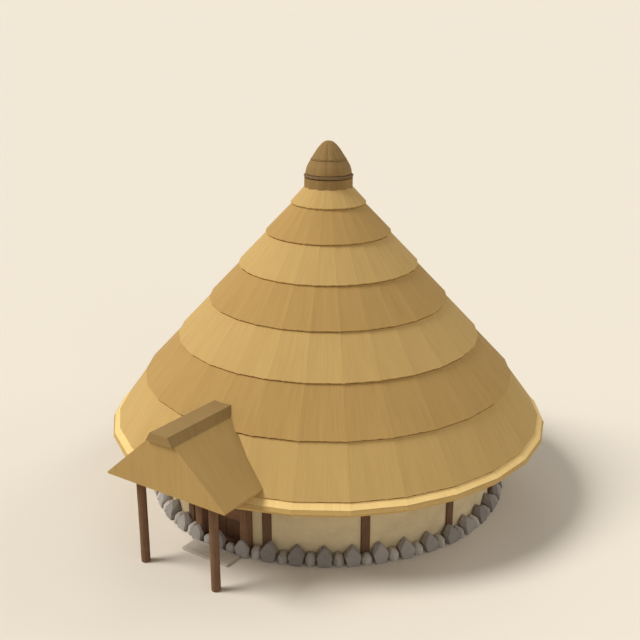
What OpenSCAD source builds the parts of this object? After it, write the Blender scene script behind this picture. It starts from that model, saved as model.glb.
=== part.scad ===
// Celtic roundhouse: stepped thatch cone on a daub wall, with a gabled porch
// over a plank door. Millimetres, +Z up, ground at z = 0, door facing -Y.

/* [Wall] */
// Outer radius of the daub wall
wall_r = 3900; // [3500:50:4400]
// Thickness of the daub
wall_t = 150; // [110:10:200]
// Number of wall posts
post_n = 12; // [8:2:12]
// Width of a wall post along the wall
post_w = 200; // [150:10:230]
// Width of the daub between the door frame and the next post
door_side = 219; // [150:1:300]
// How far a wall post stands proud of the daub outside
post_proud = 50; // [30:5:60]
// How far a wall post stands proud of the daub inside
post_inner = 20; // [10:5:40]
// Width of the wall plate across the wall
plate_w = 210; // [180:10:230]
// Height of the wall plate
plate_h = 160; // [140:10:170]

/* [Doorway] */
// Clear half-width between the jambs
door_hw = 500; // [440:10:520]
// Clear height below the lintel
door_h = 1800; // [1700:10:1850]
// Width of a jamb across the doorway
jamb_w = 190; // [150:10:200]
// Depth of the door frame
frame_d = 300; // [240:10:320]
// How far the frame stands proud of the daub at the doorway
frame_proud = 150; // [120:10:170]
// Height of the lintel
lintel_h = 180; // [140:10:220]
// Height of the sill
sill_h = 100; // [80:10:130]

/* [Door] */
// Thickness of the planks
plank_t = 38; // [30:2:44]
// Number of planks
plank_n = 5; // [4:1:7]
// Gap between planks
plank_gap = 4; // [3:1:8]
// Running gap round the leaf
leaf_gap = 12; // [8:1:20]
// Thickness of the boards laid across the planks
ledge_t = 32; // [24:2:36]
// Number of boards laid across the planks
ledge_n = 4; // [2:1:6]
// Height of the lowest board's bottom edge
ledge_z = 600; // [400:10:900]
// Diameter of the hanging stile
harr_d = 84; // [80:2:94]
// Radius of the pivot pins
pin_r = 20; // [14:1:24]
// Length of a pivot pin
pin_l = 45; // [30:5:60]
// Radial clearance of a pivot
pin_gap = 1; // [0.5:0.5:3]

/* [Main roof] */
// Number of flat facets round the cone
facets = 28; // [20:4:36]
// How far the last course's lower edge stands out from the wall
eave_over = 984; // [850:10:1100]
// Height of the last course's lower edge
eave_z = 1871; // [1800:10:1950]
// Run of the last course
last_run = 655; // [600:5:700]
// Fall of the last course
last_fall = 960; // [920:5:1000]
// Radius of the top course's lower edge
course_r = 848; // [800:4:900]
// Height of the top course's lower edge
course_z = 6700; // [6500:20:7000]
// How much more each course runs than the one above
course_grow = 55; // [0:5:75]
// Extra fall from one course to the next
course_drop = 20; // [0:2:40]
// Depth of the butt face that a course shows
course_step = 44; // [36:2:60]
// Thickness of the thatch
thatch_t = 300; // [260:10:320]
// Step from the last course to the eave ring
eave_step = 30; // [20:1:45]
// How far the eave ring reaches out
lip_out = 116; // [90:2:130]
// Fall of the eave ring
lip_fall = 115; // [100:1:125]
// How far the lower band reaches out
band_out = 38; // [25:1:45]
// Fall of the lower band
band_fall = 78; // [60:1:85]
// Radius of the crown opening in the thatch
crown_r = 400; // [370:5:420]
// Rise from the top course's edge to the crown
crown_rise = 490; // [470:5:510]

/* [Roof frame] */
// Radius of a rafter pole
rafter_r = 55; // [45:1:58]
// How deep a rafter is notched over the wall plate
notch_d = 32; // [15:1:40]
// How far the rafters end short of the last course's edge
tail_back = 164; // [120:2:220]
// Thickness of a ring batten
batten_t = 45; // [30:5:50]
// Width of a ring batten
batten_w = 70; // [50:5:90]
// Radius of the crown hub
hub_r = 320; // [310:5:345]
// Height of the crown hub
hub_h = 340; // [300:10:400]

/* [Straw cap] */
// Rise of the straw cap's top above the top course's edge
cap_rise = 1340; // [1300:10:1400]
// Radius of the cap's skirt
cap_r = 543; // [525:1:550]
// Number of straw bundles round the cap
cap_lobes = 12; // [10:2:14]
// Depth of the furrows between the bundles
cap_furrow = 26; // [10:1:34]
// Rise of the binding above the top course's edge
bind_rise = 590; // [580:5:610]
// Radius of the binding rope
bind_r = 44; // [36:1:46]
// Rise of the upper tie above the top course's edge
tie_rise = 950; // [940:5:970]
// Radius of the upper tie
tie_r = 17; // [12:1:20]

/* [Porch] */
// Distance of the porch posts from the centre line
post_x = 935; // [900:5:960]
// How far the porch's front eave stands out from the main eave
porch_beyond = 786; // [700:2:870]
// How far the posts stand behind the porch's front eave
post_set = 340; // [300:10:400]
// Diameter of a porch post
porch_post_d = 190; // [150:5:210]
// Half-width of the porch roof at its eaves
porch_hw = 1500; // [1450:10:1560]
// Height of the porch eaves
porch_z = 2015; // [1960:5:2060]
// Height of the flat top of the porch thatch, under the ridge cap
porch_ridge_z = 3140; // [3080:10:3200]
// Half-width of that flat top
porch_flat = 213; // [200:1:225]
// Thickness of the straw gable
gable_t = 120; // [90:5:150]
// Thickness of the porch thatch
porch_t = 120; // [100:5:130]
// Depth of the porch eave's edge
porch_edge = 40; // [30:2:60]
// Width of a porch plate
porch_plate_w = 120; // [100:5:140]
// Height of a porch plate
porch_plate_h = 140; // [110:5:150]
// Depth of the front beam
beam_w = 170; // [130:5:190]
// Height of the front beam
beam_h = 150; // [120:5:180]
// How far the front beam runs past the posts
beam_past = 195; // [130:5:230]
// Depth and height of the trimmer under the cut eaves
trimmer_w = 120; // [100:5:130]
// How far the trimmer stands behind the main eave
trimmer_set = 380; // [340:10:420]
// Radius of a porch rafter
porch_rafter_r = 38; // [30:1:42]
// Spacing of the porch rafters
porch_rafter_gap = 400; // [350:10:450]
// Radius of the porch ridge pole
pole_r = 50; // [42:1:58]
// Half-width of the ridge cap's top
ridge_top_hw = 221; // [205:2:240]
// Half-width of the ridge cap's foot
ridge_foot_hw = 338; // [310:2:370]
// Rise of the ridge cap above the thatch's flat top
ridge_rise = 76; // [60:2:100]
// How far the ridge cap stands out from the gable
ridge_beyond = 58; // [40:2:80]

/* [Footing] */
// Spacing of the large stones round the wall
stone_pitch = 600; // [570:10:700]
// Width of a large stone
stone_w = 350; // [280:5:355]
// Height of a large stone
stone_h = 390; // [340:5:440]
// Width of a small stone
pebble_w = 205; // [180:5:210]
// Height of a small stone
pebble_h = 260; // [220:5:290]
// How far a large stone stands out from the daub
stone_d = 320; // [280:5:360]
// How far a small stone stands out from the daub
pebble_d = 290; // [250:5:330]
// Half-width of the threshold slab
slab_hw = 600; // [560:5:640]
// Depth of the slab before the stones
slab_d = 380; // [300:10:500]
// Thickness of the slab
slab_t = 60; // [40:5:80]
// How far the slab runs in between the feet of the stones
slab_tuck = 40; // [20:5:60]

/* [Fit] */
// Gap between pieces that seat on each other
seat = 0.3; // [0.2:0.1:0.5]

/* [Hidden] */
$fn = 64;

straw_light = [0.80, 0.65, 0.40];
straw_dark = [0.70, 0.56, 0.34];
straw_old = [0.52, 0.41, 0.24];
oak_dark = [0.38, 0.27, 0.18];
oak_pale = [0.47, 0.34, 0.23];
daub_colour = [0.84, 0.75, 0.62];
stone_grey = [0.50, 0.47, 0.43];
slab_grey = [0.66, 0.61, 0.54];

// Wall and doorway
post_r1 = wall_r + post_proud;
post_r0 = wall_r - wall_t - post_inner;
plate_r1 = (post_r1 + post_r0 + plate_w) / 2;
plate_r0 = plate_r1 - plate_w;
frame_y = wall_r + frame_proud;
frame_x = door_hw + jamb_w;
// Wall posts: the first and the last stand door_side beyond the frame, the others evenly between
post_a0 = asin((frame_x + door_side + post_w / 2) / wall_r);
function post_a(k) = post_a0 + (360 - 2 * post_a0) * k / (post_n - 1);

// Main roof: radius and height of each course's lower edge, counted from 0. The first six
// edges lie in a shallow curve of even growth, and the last course falls more steeply.
last = 6;
eave_r = wall_r + eave_over;
course_run = (eave_r - last_run - course_r - course_grow * (last - 1) * (last - 2) / 2) / (last - 1);
course_pitch = (course_z - eave_z - last_fall - course_drop * (last - 1))
    / (eave_r - last_run - course_r);
function edge_r(i) = i < last ? course_r + course_run * i + course_grow * i * (i - 1) / 2 : eave_r;
function edge_z(i) = i < last ? course_z - course_pitch * (edge_r(i) - course_r) - course_drop * i
    : eave_z;
function edge(i) = [edge_r(i), edge_z(i)];
// The underside falls in one line, thatch_t below the first six edges
pitch = (edge_z(0) - edge_z(last - 1)) / (edge_r(last - 1) - edge_r(0));
slant = sqrt(1 + pitch * pitch);
inward = [-pitch, -1] / slant;
downhill = [1, -pitch] / slant;
function under(r) = course_z - pitch * (r - course_r) - thatch_t * slant;
function depth(p) = (p[1] - under(p[0])) / slant;
function foot(p, d = 0) = p + inward * (depth(p) + d);
function butt(i) = edge(i) + inward * (i < last ? course_step : eave_step);
crown = [crown_r, course_z + crown_rise];
lip = edge(last) + [lip_out, -lip_fall];
band = lip + [band_out, -band_fall];

// Rafters stand under every other corner of the cone, rafter_d below the thatch's underside
rafter_n = facets / 2;
rafter_d = batten_t + seat + (rafter_r + seat) / cos(180 / facets);
// The wall is as high as brings its plate into the rafters' notches
wall_h = under(plate_r1) - (rafter_d + rafter_r - notch_d) * slant - plate_h;

// Porch: distances from the house's axis, slopes, and the fall through the thatch
porch_out = eave_r + porch_beyond;
post_out = porch_out - post_set;
ridge_out = porch_out + ridge_beyond;
side_slope = (porch_ridge_z - porch_z) / (porch_hw - porch_flat);
side_a = atan(side_slope);
side_drop = porch_t / cos(side_a);
base_z = porch_z - porch_edge;
// The space under the porch thatch: half-width at the base and at its flat top, and front
in_hw = porch_hw - (side_drop - porch_edge) / side_slope;
in_z = porch_ridge_z - porch_t;
in_flat = in_hw - (in_z - base_z) / side_slope;
in_front = porch_out - gable_t;
plate_x = post_x + porch_plate_w / 2;
plate_top = porch_z + (porch_hw - plate_x) * side_slope - side_drop
    - (2 * porch_rafter_r + seat) / cos(side_a);
beam_top = plate_top - porch_plate_h;
passage_x = plate_x + seat;
passage_z = plate_top + seat;
pole_z = in_z - pole_r - seat;

// Footing
stone_out = wall_r + stone_d;
pebble_out = wall_r + pebble_d;
stone_n = floor(2 * PI * stone_out / stone_pitch);

// The finished building is centred on the box round the cone and the porch's ridge cap
house_y = (ridge_out - band[0]) / 2;

module placed() translate([0, house_y, 0]) children();

module turned(a) rotate([0, 0, a]) children();

// A ring of flat facets with the given (radius, height) outline
module facet_ring(outline) {
    n = len(outline);
    polyhedron(
        points = [for (j = [0 : facets - 1], p = outline)
            [p[0] * sin(360 * j / facets), -p[0] * cos(360 * j / facets), p[1]]],
        faces = [for (j = [0 : facets - 1], i = [0 : n - 1])
            let (a = j * n, b = (j + 1) % facets * n, k = (i + 1) % n)
                [a + k, b + k, b + i, a + i]]);
}

// A closed solid through rings of points, each ring of the same length
module loft(rings) {
    n = len(rings[0]);
    m = len(rings);
    polyhedron(
        points = concat([for (ring = rings, p = ring) p],
            [mid_point(rings[0]), mid_point(rings[m - 1])]),
        faces = concat(
            [for (i = [0 : m - 2], j = [0 : n - 1], t = [0, 1])
                let (k = (j + 1) % n, a = i * n + j, c = i * n + n + k)
                    t == 0 ? [a, c, i * n + n + j] : [a, i * n + k, c]],
            [for (j = [0 : n - 1]) [n * m, (j + 1) % n, j]],
            [for (j = [0 : n - 1]) [n * m + 1, (m - 1) * n + j, (m - 1) * n + (j + 1) % n]]));
}
function mid_point(ring) = [for (i = [0 : 2]) sum([for (p = ring) p[i]]) / len(ring)];
function sum(v, i = 0) = i < len(v) ? v[i] + sum(v, i + 1) : 0;

// The outside of the stepped cone as one solid, grown by g
module roof_envelope(g) {
    up = ([pitch, 1] / slant + downhill) * g;
    chain = concat([crown + up + [0, g], edge(0) + up],
        [for (i = [1 : last], p = [butt(i - 1), edge(i)]) p + up]);
    loft([for (p = concat(chain, [lip + up, band + up + [0, -g], [band[0] + g, 0]]))
        [for (j = [0 : facets - 1])
            [p[0] * sin(360 * j / facets), -p[0] * cos(360 * j / facets), p[1]]]]);
}

// The way in under the porch, cut out of the eaves
module passage(w = passage_x) {
    translate([-w, -porch_out, -1]) cube([2 * w, porch_out - frame_y, passage_z + 1]);
}

// ---- Wall ----

module post_at(a, g = 0) {
    turned(a) translate([-post_w / 2 - g, -post_r1 - g, 0])
        cube([post_w + 2 * g, post_r1 - post_r0 + 2 * g, wall_h - seat]);
}

module wall_posts() {
    color(oak_dark) placed() for (k = [0 : post_n - 1]) post_at(post_a(k));
}

module wall_plate() {
    color(oak_dark) placed() rotate_extrude($fn = 360) translate([plate_r0, wall_h])
        square([plate_w, plate_h]);
}

// All that lies outside a sector of the given angle, centred on -Y
module wedge_outside(angle) {
    far = 2 * wall_r;
    translate([0, 0, -2]) linear_extrude(wall_h + 4)
        polygon([[0, 0], [far * sin(angle / 2), -far * cos(angle / 2)], [far, 0], [far, far],
            [-far, far], [-far, 0], [-far * sin(angle / 2), -far * cos(angle / 2)]]);
}

// One bay of daub between posts k - 1 and k, or over the doorway for k = 0
module bay(k) {
    ends = k == 0 ? [-post_a0, post_a0] : [post_a(k - 1), post_a(k)];
    difference() {
        cylinder(h = wall_h - seat, r = wall_r, $fn = 360);
        translate([0, 0, -1]) cylinder(h = wall_h + 2, r = wall_r - wall_t, $fn = 360);
        turned((ends[0] + ends[1]) / 2) wedge_outside(ends[1] - ends[0]);
        for (a = ends) post_at(a, seat);
    }
}

side_bays = round(post_n / 4);

module daub_right() { color(daub_colour) placed() for (k = [1 : side_bays]) bay(k); }

module daub_back() {
    color(daub_colour) placed() for (k = [side_bays + 1 : post_n - side_bays - 1]) bay(k);
}

module daub_left() {
    color(daub_colour) placed() for (k = [post_n - side_bays : post_n - 1]) bay(k);
}

module daub_door_sides() {
    color(daub_colour) placed() difference() {
        bay(0);
        translate([-frame_x, -2 * wall_r, -1]) cube([2 * frame_x, 2 * wall_r, wall_h + 2]);
    }
}

module daub_over_door() {
    color(daub_colour) placed() intersection() {
        bay(0);
        translate([-frame_x, -2 * wall_r, door_h + lintel_h])
            cube([2 * frame_x, 2 * wall_r, wall_h]);
    }
}

// ---- Door frame ----

module door_jambs() {
    color(oak_dark) placed() for (s = [-1, 1])
        translate([s * (door_hw + jamb_w / 2) - jamb_w / 2, -frame_y, 0])
            cube([jamb_w, frame_d, door_h]);
}

// The leaf hangs on a round stile that turns on pins
harr_x = -door_hw + leaf_gap + harr_d / 2;
harr_y = -frame_y + frame_d - harr_d / 2 - leaf_gap;
socket_d = pin_l + seat;

module door_lintel() {
    color(oak_dark) placed() difference() {
        translate([-frame_x, -frame_y, door_h]) cube([2 * frame_x, frame_d, lintel_h]);
        translate([harr_x, harr_y, door_h - 1]) cylinder(h = socket_d + 1, r = pin_r + pin_gap);
    }
}

module door_sill() {
    color(oak_dark) placed() difference() {
        translate([-door_hw, -frame_y, 0]) cube([2 * door_hw, frame_d, sill_h]);
        translate([harr_x, harr_y, sill_h + leaf_gap - socket_d])
            cylinder(h = socket_d + 1, r = pin_r + pin_gap);
    }
}

// ---- Door leaf ----

leaf_z0 = sill_h + leaf_gap;
leaf_z1 = door_h - leaf_gap;
leaf_x0 = harr_x + harr_d / 2 + seat;
leaf_x1 = door_hw - leaf_gap;
plank_w = (leaf_x1 - leaf_x0 - plank_gap * (plank_n - 1)) / plank_n;
ledge_h = (leaf_z1 - ledge_z - plank_gap * (ledge_n - 1)) / ledge_n;

module door_harr() {
    color(oak_dark) placed() translate([harr_x, harr_y, 0]) {
        translate([0, 0, leaf_z0]) cylinder(h = leaf_z1 - leaf_z0, d = harr_d);
        translate([0, 0, leaf_z0 - pin_l]) cylinder(h = pin_l, r = pin_r);
        translate([0, 0, leaf_z1]) cylinder(h = leaf_gap + pin_l, r = pin_r);
    }
}

module door_planks() {
    color(oak_dark) placed() for (i = [0 : plank_n - 1])
        translate([leaf_x0 + i * (plank_w + plank_gap), harr_y, leaf_z0])
            cube([plank_w, plank_t, leaf_z1 - leaf_z0]);
}

module door_ledges() {
    color(oak_pale) placed() for (i = [0 : ledge_n - 1])
        translate([leaf_x0, harr_y - ledge_t, ledge_z + i * (ledge_h + plank_gap)])
            cube([leaf_x1 - leaf_x0, ledge_t, ledge_h]);
}

// ---- Roof frame ----

module rafter(k) {
    top = [hub_r / 2, under(hub_r / 2)] + inward * rafter_d;
    turned((2 * k + 1) * 180 / rafter_n) translate([0, -top[0], top[1]])
        rotate([90 + atan(pitch), 0, 0])
            cylinder(h = (eave_r - tail_back - top[0]) * slant, r = rafter_r);
}

module rafters() {
    color(oak_pale) placed() difference() {
        for (k = [0 : rafter_n - 1]) rafter(k);
        cylinder(h = 2 * course_z, r = hub_r + seat);
        translate([0, 0, wall_h]) cylinder(h = plate_h + seat, r = plate_r1 + seat, $fn = 360);
        passage(passage_x + 2 * porch_plate_w);
    }
}

module crown_hub() {
    top = under(hub_r / cos(180 / facets)) - seat;
    color(oak_pale) placed() translate([0, 0, top - hub_h]) cylinder(h = hub_h, r = hub_r);
}

// A batten lies under the middle of each course
module batten(i) {
    up = i == 0 ? crown : edge(i - 1);
    mid = foot((up + edge(i)) / 2, seat);
    facet_ring([mid - downhill * batten_w / 2, mid + downhill * batten_w / 2,
        mid + downhill * batten_w / 2 + inward * batten_t,
        mid - downhill * batten_w / 2 + inward * batten_t]);
}

module battens() {
    color(oak_pale) placed() difference() {
        for (i = [0 : last]) batten(i);
        passage();
    }
}

// ---- Thatch ----

// Courses meet on joint faces that run square to the slope
module course(i) {
    up = i == 0 ? crown : butt(i - 1) + downhill * seat;
    facet_ring([edge(i), up, foot(up), foot(edge(i))]);
}

module thatch_course_1() { color(straw_light) placed() course(0); }
module thatch_course_2() { color(straw_dark) placed() course(1); }
module thatch_course_3() { color(straw_light) placed() course(2); }
module thatch_course_4() { color(straw_dark) placed() course(3); }
module thatch_course_5() { color(straw_light) placed() course(4); }
module thatch_course_6() { color(straw_dark) placed() course(5); }
module thatch_course_7() {
    color(straw_light) placed() difference() { course(last); passage(); }
}

module eave_ring() {
    color(straw_light) placed() difference() {
        facet_ring([lip, butt(last) + downhill * seat, foot(edge(last)) + downhill * seat, foot(lip)]);
        passage();
    }
}

module eave_band() {
    color(straw_dark) placed() difference() {
        facet_ring([band, lip + downhill * seat, foot(lip) + downhill * seat, foot(band)]);
        passage();
    }
}

// ---- Straw cap ----

cap_top = course_z + cap_rise;
bind_z = course_z + bind_rise;
tie_z = course_z + tie_rise;
bind_neck = cap_r - 70;
tie_neck = cap_r - 160;
cap_seg = 6 * cap_lobes;
// The skirt's foot lies 20 mm inside the top course's slope
cap_foot = crown[1] - (cap_r + 20 - crown_r) * crown_rise / (course_r - crown_r);
// Height, radius and depth of the furrows at each level of the cap
cap_levels = [
    [cap_foot, cap_r, 1], [bind_z - 90, cap_r + 4, 1],
    [bind_z - bind_r, bind_neck, 0], [bind_z + bind_r, bind_neck, 0],
    [bind_z + 120, cap_r - 24, 1], [bind_z + 210, cap_r - 50, 1],
    [tie_z - 60, cap_r - 114, 0.8], [tie_z - tie_r, tie_neck, 0], [tie_z + tie_r, tie_neck, 0],
    [tie_z + 60, cap_r - 170, 0.8], [tie_z + 220, cap_r * 0.47, 0.7],
    [cap_top - 60, cap_r * 0.29, 0.5], [cap_top - 15, cap_r * 0.18, 0.3],
    [cap_top, cap_r * 0.08, 0]];

module straw_cap() {
    color(straw_old) placed() difference() {
        loft([for (i = [len(cap_levels) - 1 : -1 : 0]) let (c = cap_levels[i])
            [for (j = [0 : cap_seg - 1])
                let (a = 360 * j / cap_seg,
                    r = c[1] - cap_furrow * c[2] * (1 - abs(sin(cap_lobes * a / 2))))
                [r * sin(a), -r * cos(a), c[0]]]]);
        roof_envelope(seat);
    }
}

module rope_ring(z, neck, r) {
    translate([0, 0, z]) rotate_extrude() translate([neck + r + seat, 0]) circle(r = r, $fn = 32);
}

module cap_binding() { color(oak_pale) placed() rope_ring(bind_z, bind_neck, bind_r); }
module cap_tie() { color(straw_old) placed() rope_ring(tie_z, tie_neck, tie_r); }

// ---- Porch ----

module porch_posts() {
    color(oak_dark) placed() for (s = [-1, 1])
        translate([s * post_x, -post_out, 0]) cylinder(h = beam_top - beam_h, d = porch_post_d);
}

// The front beam on the posts, and the trimmer that carries the cut eaves
module porch_beams() {
    color(oak_dark) placed() {
        translate([-post_x - beam_past, -post_out - beam_w / 2, beam_top - beam_h])
            cube([2 * (post_x + beam_past), beam_w, beam_h]);
        translate([-post_x + porch_plate_w / 2, -eave_r + trimmer_set - trimmer_w,
            plate_top - trimmer_w])
            cube([2 * post_x - porch_plate_w, trimmer_w, trimmer_w]);
    }
}

// The plates run from the wall to the beam's front, or as near as the gable leaves room
module porch_plates() {
    front = min(post_out + beam_w / 2, in_front - seat);
    color(oak_dark) placed() difference() {
        for (s = [-1, 1]) translate([s * post_x - porch_plate_w / 2, -front, beam_top])
            cube([porch_plate_w, front - plate_r0, porch_plate_h]);
        for (a = [-post_a0, post_a0]) post_at(a, seat);
        translate([0, 0, beam_top - 1])
            cylinder(h = porch_plate_h + 2, r = wall_r + seat, $fn = 360);
    }
}

// A prism along Y with the given (x, z) outline, from the wall plate out to the given distance
module run_out(outline, front, back = plate_r0) {
    translate([0, -back, 0]) rotate([90, 0, 0]) linear_extrude(front - back) polygon(outline);
}
function mirrored(v) = concat(v, [for (i = [len(v) - 1 : -1 : 0]) [-v[i][0], v[i][1]]]);

module porch_thatch() {
    color(straw_light) placed() difference() {
        run_out(mirrored([[porch_hw, base_z], [porch_hw, porch_z], [porch_flat, porch_ridge_z]]),
            porch_out);
        run_out(mirrored([[in_hw, base_z - 1], [in_hw, base_z], [in_flat, in_z]]), in_front,
            plate_r0 - 1);
        roof_envelope(seat);
    }
}

module porch_ridge_pole() {
    color(oak_pale) placed() difference() {
        translate([0, -plate_r0, pole_z]) rotate([90, 0, 0])
            cylinder(h = in_front - seat - plate_r0, r = pole_r);
        roof_envelope(seat);
    }
}

// A common rafter of the porch at distance o from the axis, on side s
module porch_rafter(o, s) {
    ridge = porch_z + porch_hw * side_slope - side_drop - (porch_rafter_r + seat) / cos(side_a);
    translate([0, -o, ridge]) rotate([0, 90 + s * side_a + (s < 0 ? 180 : 0), 0])
        cylinder(h = (plate_x + porch_plate_w / 2) / cos(side_a), r = porch_rafter_r);
}

// Pairs of rafters stop against the ridge pole and rest on the plates
module porch_rafters() {
    color(oak_pale) placed() difference() {
        for (i = [0 : 2], s = [-1, 1])
            porch_rafter(in_front - (i + 0.4) * porch_rafter_gap, s);
        translate([-pole_r - seat, -porch_out, beam_top]) cube([2 * (pole_r + seat), wall_r, wall_r]);
        translate([-porch_hw, -porch_out, in_z - seat]) cube([2 * porch_hw, wall_r, wall_r]);
        for (s = [-1, 1]) translate([s * post_x - porch_plate_w, -porch_out, 0])
            cube([2 * porch_plate_w, porch_out, plate_top + seat]);
        roof_envelope(seat);
    }
}

// The cap straddles the thatch's flat top and the head of both slopes
module porch_ridge_cap() {
    z = porch_ridge_z + seat / cos(side_a);
    color(straw_old) placed() difference() {
        run_out(mirrored([[porch_flat, z],
            [ridge_foot_hw, z - (ridge_foot_hw - porch_flat) * side_slope],
            [ridge_top_hw, z + ridge_rise]]), ridge_out);
        roof_envelope(seat);
    }
}

// ---- Footing stones ----

function chance(i, s) = let (v = sin(i * 127.1 + s * 311.7) * 4375.85) v - floor(v);

back_y = -0.4;

// A rough stone with a flat back at y = 0 and its front at y = -d: narrow at the foot, widest
// at its shoulders and pointed on top
module boulder(w, d, h, seed) {
    levels = [[0, 0.84], [0.5 * h, 1], [h, 0.16]];
    loft([for (i = [len(levels) - 1 : -1 : 0])
        [for (j = [0 : 7])
            let (a = 45 * j + 22.5, rough = i == 1 && j < 4 ? 0 : 0.14 * chance(seed, i * 8 + j),
                q = levels[i][1] * (1 - rough))
            [w / 2 * q * cos(a) / cos(22.5), min(0, d * (back_y + 0.6 * q * sin(a) / cos(22.5))),
                levels[i][0] * (1 - [0, 0.2, 0.06][i] * chance(seed, 50 + j))]]]);
}

// Stones lean on the daub, on a wall post or on the door frame, whichever stands before them.
// A stone's back is flat over flat_w of its width and falls away by fall of its depth beyond.
flat_w = tan(22.5);
fall = -back_y - 0.6 * flat_w;
function clear_of(u, v, w, out) =
    let (b = fall * max(0, (abs(u) - flat_w * w / 2) / (w / 2 * (1 - flat_w))))
        (v - b * out) / (1 - b);
// Least distance of the back from the axis where a post's face stands e degrees to one side
function post_clear(e, w, out) =
    let (m = post_r1 * sin(e), h = post_w / 2 * cos(e))
        max([for (u = [m - h, m + h, -flat_w * w / 2, flat_w * w / 2, -w / 2, w / 2])
            abs(u - m) <= h + 0.001 && abs(u) <= w / 2 + 0.001
                ? clear_of(u, (post_r1 - u * sin(e)) / cos(e), w, out) : 0]);
function back_r(a, w, out) = seat + max([wall_r, for (k = [0 : post_n - 1])
    let (e = (post_a(k) - a + 540) % 360 - 180)
        abs(e) < 60 ? post_clear(e, w, out) : 0]);

module stone_at(k, w, h, out) {
    a = 360 * k / stone_n;
    side = out * sin(a);
    if (cos(a) > 0 && abs(side) - w / 2 < frame_x)
        translate([side, -frame_y - seat, 0]) boulder(w, out * cos(a) - frame_y - seat, h, 7 * k);
    else
        turned(a) translate([0, -back_r(a, w, out), 0])
            boulder(w, out - back_r(a, w, out), h, 7 * k);
}

module large_stone(k, g = 0) {
    stone_at(k, stone_w + 2 * g, stone_h * (0.94 + 0.12 * chance(k, 3)), stone_out + g);
}

module small_stone(k, g = 0) {
    stone_at(k + 0.5, pebble_w + 2 * g, pebble_h * (0.92 + 0.14 * chance(k, 9)), pebble_out + g);
}

module stones_large() { color(stone_grey) placed() for (k = [0 : stone_n - 1]) large_stone(k); }
module stones_small() { color(stone_grey) placed() for (k = [0 : stone_n - 1]) small_stone(k); }

// The slab is let in round the feet of the stones before the door
module threshold_slab() {
    color(slab_grey) placed() difference() {
        translate([-slab_hw, -stone_out - slab_d, 0]) cube([2 * slab_hw, slab_d + slab_tuck, slab_t]);
        for (k = [0, 1, stone_n - 1]) large_stone(k, seat);
        for (k = [0, stone_n - 1]) small_stone(k, seat);
    }
}

wall_plate();
wall_posts();
daub_right();
daub_back();
daub_left();
daub_door_sides();
daub_over_door();
door_jambs();
door_lintel();
door_sill();
door_planks();
door_ledges();
door_harr();
crown_hub();
rafters();
battens();
thatch_course_1();
thatch_course_2();
thatch_course_3();
thatch_course_4();
thatch_course_5();
thatch_course_6();
thatch_course_7();
eave_ring();
eave_band();
straw_cap();
cap_binding();
cap_tie();
porch_posts();
porch_beams();
porch_plates();
porch_ridge_pole();
porch_rafters();
porch_thatch();
porch_ridge_cap();
stones_large();
stones_small();
threshold_slab();
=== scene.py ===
"""Celtic roundhouse: a stepped thatch cone on a daubed post wall, with a gabled porch.

Every length is in metres. Pieces are worked out in the house's own frame, where the axis of
the round stands at x = 0, y = 0 and the doorway looks along -Y, and are then moved to the
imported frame.
"""

import logging
import math
from collections.abc import Iterator
from contextlib import contextmanager
from dataclasses import dataclass
from enum import Enum
from functools import cache

import bmesh
import bpy
import numpy as np
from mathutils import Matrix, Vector


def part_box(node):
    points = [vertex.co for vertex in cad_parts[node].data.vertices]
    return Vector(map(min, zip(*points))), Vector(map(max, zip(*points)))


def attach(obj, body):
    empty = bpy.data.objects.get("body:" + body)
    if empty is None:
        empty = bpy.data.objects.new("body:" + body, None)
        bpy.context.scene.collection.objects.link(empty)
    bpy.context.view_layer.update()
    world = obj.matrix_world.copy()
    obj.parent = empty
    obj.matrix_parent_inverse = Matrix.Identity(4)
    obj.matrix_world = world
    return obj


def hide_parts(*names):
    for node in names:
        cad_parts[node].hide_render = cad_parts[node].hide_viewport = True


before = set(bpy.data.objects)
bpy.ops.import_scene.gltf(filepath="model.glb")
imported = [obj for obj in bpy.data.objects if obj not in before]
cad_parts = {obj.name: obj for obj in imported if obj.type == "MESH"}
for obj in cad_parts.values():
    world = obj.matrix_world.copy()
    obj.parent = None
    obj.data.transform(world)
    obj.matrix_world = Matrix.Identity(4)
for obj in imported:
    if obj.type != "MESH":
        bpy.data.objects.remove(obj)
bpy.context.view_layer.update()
HOUSE_Y = sum(corner[1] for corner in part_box("crown_hub")) / 2
MERGE = 2e-5
FLAT = math.radians(0.6)
SEAT = 0.0003
TURN = 2 * math.pi
log = logging.getLogger("roundhouse")
Array = np.ndarray
Point = tuple[float, float, float]
Tree = bpy.types.NodeTree
Socket = bpy.types.NodeSocket


class Fibre(Enum):
    """Which way the fibres of a timber finish run."""

    ALONG_UV = "v of the piece's own map"
    ALONG_X = 0
    ALONG_Y = 1
    ALONG_Z = 2


# ---- Finishes ----


def linear(code: str) -> tuple[float, float, float, float]:
    """Turns an sRGB hex colour into linear red, green and blue with full alpha.

    Args:
        code: six hex digits.

    Returns:
        Four numbers from 0 to 1.
    """
    parts = [int(code[i:i + 2], 16) / 255 for i in (0, 2, 4)]
    return *(c / 12.92 if c <= 0.04045 else ((c + 0.055) / 1.055) ** 2.4 for c in parts), 1.0


def add(tree: Tree, kind: str, settings: dict | None = None,
        links: dict | None = None) -> bpy.types.Node:
    """Adds a node to a material or world.

    Args:
        tree: the node tree.
        kind: the node's type without "ShaderNode".
        settings: values by the name of an input or a property.
        links: output sockets by the name or number of the input that they feed.

    Returns:
        The new node.
    """
    node = tree.nodes.new("ShaderNode" + kind)
    for key, value in (settings or {}).items():
        if isinstance(key, int) or key in node.inputs:
            node.inputs[key].default_value = value
        else:
            setattr(node, key, value)
    for key, socket in (links or {}).items():
        tree.links.new(socket, node.inputs[key])
    return node


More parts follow.
